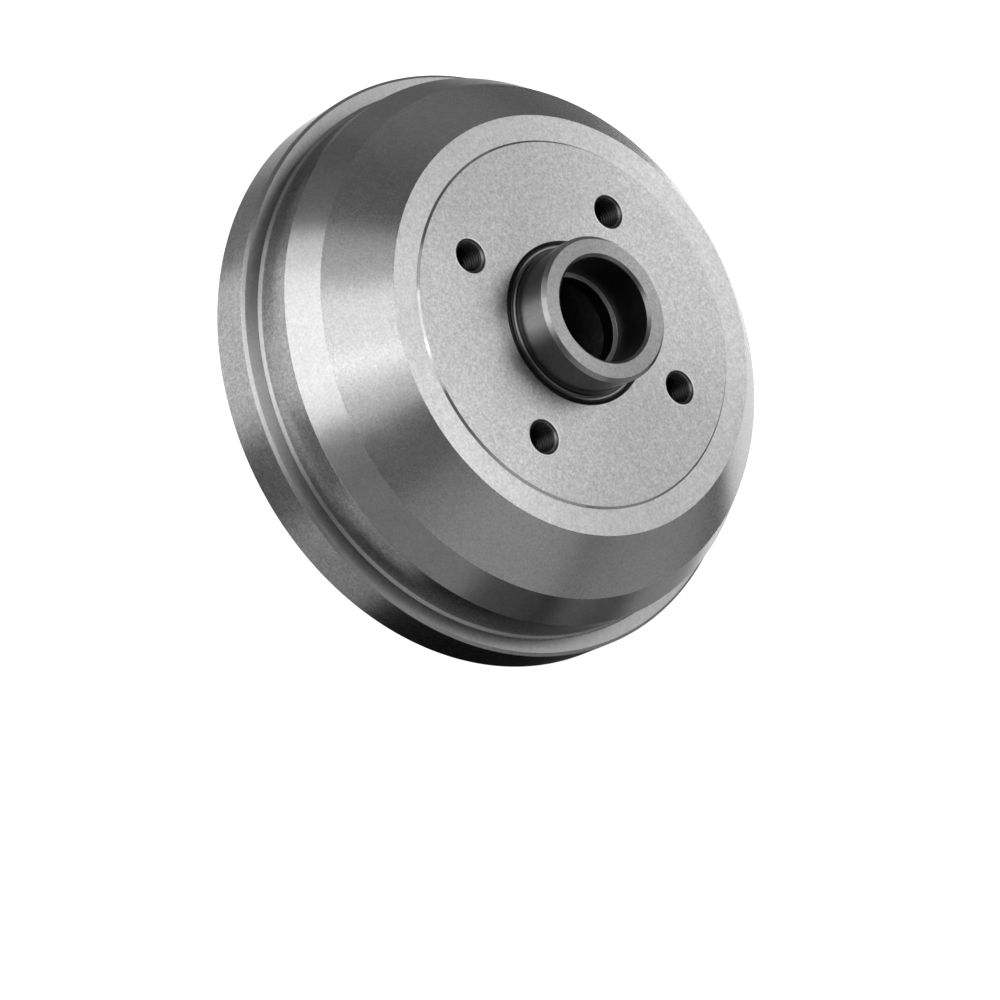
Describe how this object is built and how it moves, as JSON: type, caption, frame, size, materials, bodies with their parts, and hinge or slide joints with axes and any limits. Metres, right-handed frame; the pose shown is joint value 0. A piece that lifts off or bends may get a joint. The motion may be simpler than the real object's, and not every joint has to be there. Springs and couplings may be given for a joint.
{
  "type": "brake drum",
  "caption": "Round cast-iron brake drum with an integral bearing hub, raised wheel seat, centring spigot, tapped wheel-bolt holes and a stiffened open rim.",
  "frame": {"origin": "centre of the open rim's plane, which the drum rests on", "axes": "+Z along the wheel axis, from the open rim to the hub nose; the first bolt hole lies at 45 degrees between +X and +Y"},
  "size_m": [0.228, 0.228, 0.0853],
  "materials": {
    "cast_iron": "fine blasted and turned grey iron"
  },
  "bodies": {
    "root": {"brake_drum": "cast_iron"}
  },
  "joints": []
}
